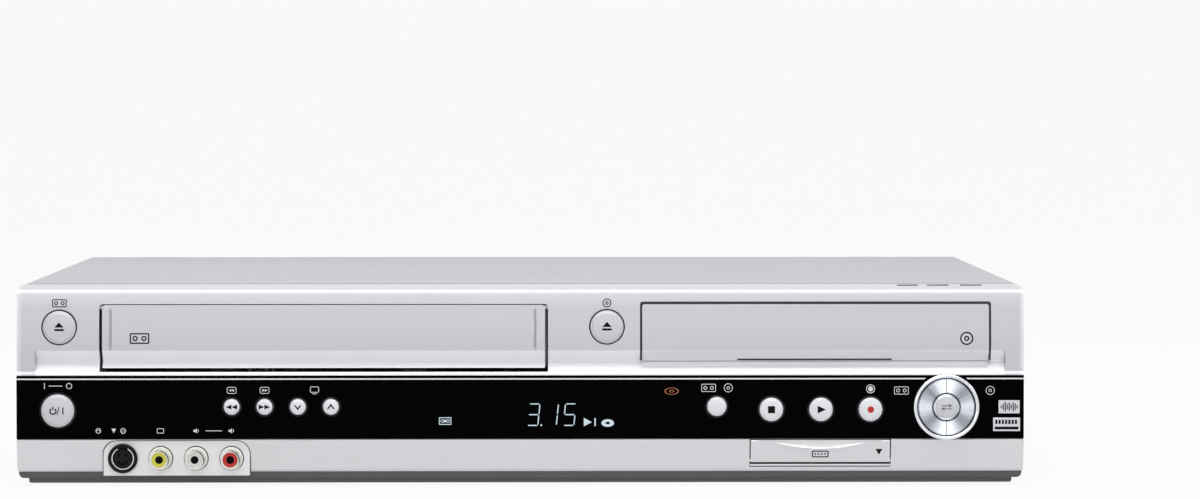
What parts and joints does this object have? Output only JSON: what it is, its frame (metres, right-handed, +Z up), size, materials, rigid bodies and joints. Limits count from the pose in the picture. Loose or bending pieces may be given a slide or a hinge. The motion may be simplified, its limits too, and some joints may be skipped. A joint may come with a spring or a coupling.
{
  "type": "disc and video cassette player",
  "caption": "Flat combined player with a cassette flap, a motorised disc tray, a gloss control band, front sockets and the decks inside.",
  "frame": {"origin": "on the floor under the middle of the case", "axes": "+Z up, front towards -Y, +X to the right seen from the front"},
  "size_m": [0.4334, 0.337, 0.086],
  "materials": {
    "steel_cover": "fine satin silver paint",
    "zinc": "bright zinc-plated sheet",
    "screw_steel": "plated",
    "foot_plastic": "matt",
    "silver_plastic": "satin silver paint on plastic",
    "black_window": "polished",
    "trim_white": "bright line",
    "plinth_grey": "fine grained",
    "spring_steel": "bright wire",
    "button_silver": "satin silver",
    "dial_chrome": "bright ring",
    "dial_metal": "spun",
    "connector_metal": "plated",
    "phono_metal": "nickel plated",
    "phono_plastic": "yellow, white and red",
    "black_plastic": "satin",
    "glass_dark": "dark display glass",
    "board_green": "solder resist",
    "board_brown": "phenolic board",
    "tray_plastic": "fine grained",
    "gear_plastic": "natural acetal",
    "machined": "turned",
    "rubber": "ground",
    "frame_plastic": "fine grained"
  },
  "bodies": {
    "case": {"top_cover": "steel_cover", "cover_screws": "screw_steel", "bottom_chassis": "zinc", "feet": "foot_plastic", "rear_panel": "steel_cover", "front_fascia": "silver_plastic", "control_window": "black_window", "window_trim": "trim_white", "plinth": "plinth_grey", "flap_spring": "spring_steel", "copy_bezel": "dial_chrome", "dv_socket": "connector_metal", "socket_pad": "silver_plastic", "svideo_socket": "black_plastic", "phono_sleeves": "phono_metal", "phono_inserts": "phono_plastic", "display_module": "glass_dark", "key_board": "board_green", "main_board": "board_green", "power_board": "board_brown", "mains_inlet": "black_plastic", "rear_socket_block": "black_plastic", "rear_phono_sleeves": "phono_metal", "rear_phono_inserts": "phono_plastic", "aerial_sockets": "connector_metal", "fan_frame": "black_plastic", "deck_plate": "zinc", "drum_base": "machined", "tape_guides": "machined", "loader_frame": "frame_plastic", "clamp_bridge": "zinc"},
    "flap": {"cassette_flap": "silver_plastic"},
    "video_door": {"dv_door": "silver_plastic"},
    "tray": {"tray_front": "silver_plastic", "disc_tray": "tray_plastic"},
    "gear": {"loading_gear": "gear_plastic"},
    "traverse": {"traverse_plate": "zinc"},
    "table": {"turntable": "frame_plastic"},
    "pickup": {"optical_pickup": "frame_plastic"},
    "cage": {"cassette_cage": "zinc"},
    "drum": {"head_drum": "machined"},
    "capstan_shaft": {"capstan": "machined"},
    "arm": {"pinch_arm": "zinc"},
    "roller": {"pinch_roller": "rubber"},
    "supply": {"supply_reel": "tray_plastic"},
    "takeup": {"takeup_reel": "tray_plastic"},
    "fan": {"fan_rotor": "black_plastic"},
    "eject_key": {"eject_button": "button_silver"},
    "open_key": {"open_button": "button_silver"},
    "power_key": {"power_button": "button_silver"},
    "rewind_key": {"rewind_button": "button_silver"},
    "forward_key": {"forward_button": "button_silver"},
    "channel_down_key": {"channel_down_button": "button_silver"},
    "channel_up_key": {"channel_up_button": "button_silver"},
    "select_key": {"select_button": "button_silver"},
    "stop_key": {"stop_button": "button_silver"},
    "play_key": {"play_button": "button_silver"},
    "record_key": {"record_button": "button_silver"},
    "copy_left_key": {"copy_left_button": "dial_metal"},
    "copy_right_key": {"copy_right_button": "dial_metal"}
  },
  "joints": [
    {"name": "flap_swing", "type": "hinge", "parent": "case", "child": "flap", "pos_m": [-0.0841, -0.15578, 0.0768], "axis": [1, 0, 0], "range_deg": [0, 88], "stiffness_Nm_per_rad": 0.01},
    {"name": "video_door_swing", "type": "hinge", "parent": "case", "child": "video_door", "pos_m": [0.128, -0.1571, 0.0112], "axis": [1, 0, 0], "range_deg": [0, 90]},
    {"name": "tray_slide", "type": "slide", "parent": "case", "child": "tray", "axis": [0, -1, 0], "range_m": [0, 0.14]},
    {"name": "gear_spin", "type": "hinge", "parent": "case", "child": "gear", "pos_m": [0.08, -0.135, 0.0551], "axis": [0, 0, 1], "range_deg": [0, 803]},
    {"name": "traverse_lift", "type": "slide", "parent": "case", "child": "traverse", "axis": [0, 0, 1], "range_m": [0, 0.0085]},
    {"name": "table_spin", "type": "hinge", "parent": "traverse", "child": "table", "pos_m": [0.126, -0.0873, 0.054], "axis": [0, 0, 1], "continuous": true},
    {"name": "pickup_slide", "type": "slide", "parent": "traverse", "child": "pickup", "axis": [0, 1, 0], "range_m": [0, 0.034]},
    {"name": "cage_drop", "type": "slide", "parent": "case", "child": "cage", "axis": [0, 0, -1], "range_m": [0, 0.02]},
    {"name": "drum_spin", "type": "hinge", "parent": "case", "child": "drum", "pos_m": [-0.0801, 0.016, 0.034], "axis": [0, -0.1045, 0.9945], "continuous": true},
    {"name": "capstan_spin", "type": "hinge", "parent": "case", "child": "capstan_shaft", "pos_m": [-0.0281, 0.004, 0.014], "axis": [0, 0, 1], "continuous": true},
    {"name": "arm_swing", "type": "hinge", "parent": "case", "child": "arm", "pos_m": [-0.0061, -0.008, 0.044], "axis": [0, 0, -1], "range_deg": [0, 7], "stiffness_Nm_per_rad": 0.02},
    {"name": "roller_spin", "type": "hinge", "parent": "arm", "child": "roller", "pos_m": [-0.0281, -0.008, 0.037], "axis": [0, 0, 1], "continuous": true},
    {"name": "supply_spin", "type": "hinge", "parent": "case", "child": "supply", "pos_m": [-0.1301, -0.062, 0.024], "axis": [0, 0, 1], "continuous": true},
    {"name": "takeup_spin", "type": "hinge", "parent": "case", "child": "takeup", "pos_m": [-0.0381, -0.062, 0.024], "axis": [0, 0, 1], "continuous": true},
    {"name": "fan_spin", "type": "hinge", "parent": "case", "child": "fan", "pos_m": [-0.025, 0.15, 0.045], "axis": [0, 1, 0], "continuous": true},
    {"name": "eject_key_press", "type": "slide", "parent": "case", "child": "eject_key", "axis": [0, 1, 0], "range_m": [0, 0.0008], "stiffness_N_per_m": 600},
    {"name": "open_key_press", "type": "slide", "parent": "case", "child": "open_key", "axis": [0, 1, 0], "range_m": [0, 0.0008], "stiffness_N_per_m": 600},
    {"name": "power_key_press", "type": "slide", "parent": "case", "child": "power_key", "axis": [0, 1, 0], "range_m": [0, 0.0008], "stiffness_N_per_m": 600},
    {"name": "rewind_key_press", "type": "slide", "parent": "case", "child": "rewind_key", "axis": [0, 1, 0], "range_m": [0, 0.0008], "stiffness_N_per_m": 600},
    {"name": "forward_key_press", "type": "slide", "parent": "case", "child": "forward_key", "axis": [0, 1, 0], "range_m": [0, 0.0008], "stiffness_N_per_m": 600},
    {"name": "channel_down_key_press", "type": "slide", "parent": "case", "child": "channel_down_key", "axis": [0, 1, 0], "range_m": [0, 0.0008], "stiffness_N_per_m": 600},
    {"name": "channel_up_key_press", "type": "slide", "parent": "case", "child": "channel_up_key", "axis": [0, 1, 0], "range_m": [0, 0.0008], "stiffness_N_per_m": 600},
    {"name": "select_key_press", "type": "slide", "parent": "case", "child": "select_key", "axis": [0, 1, 0], "range_m": [0, 0.0008], "stiffness_N_per_m": 600},
    {"name": "stop_key_press", "type": "slide", "parent": "case", "child": "stop_key", "axis": [0, 1, 0], "range_m": [0, 0.0008], "stiffness_N_per_m": 600},
    {"name": "play_key_press", "type": "slide", "parent": "case", "child": "play_key", "axis": [0, 1, 0], "range_m": [0, 0.0008], "stiffness_N_per_m": 600},
    {"name": "record_key_press", "type": "slide", "parent": "case", "child": "record_key", "axis": [0, 1, 0], "range_m": [0, 0.0008], "stiffness_N_per_m": 600},
    {"name": "copy_left_key_press", "type": "slide", "parent": "case", "child": "copy_left_key", "axis": [0, 1, 0], "range_m": [0, 0.0008], "stiffness_N_per_m": 600},
    {"name": "copy_right_key_press", "type": "slide", "parent": "case", "child": "copy_right_key", "axis": [0, 1, 0], "range_m": [0, 0.0008], "stiffness_N_per_m": 600}
  ],
  "couplings": [
    {"joint": "gear_spin", "follows": "tray_slide", "rad_per_m": 100}
  ]
}
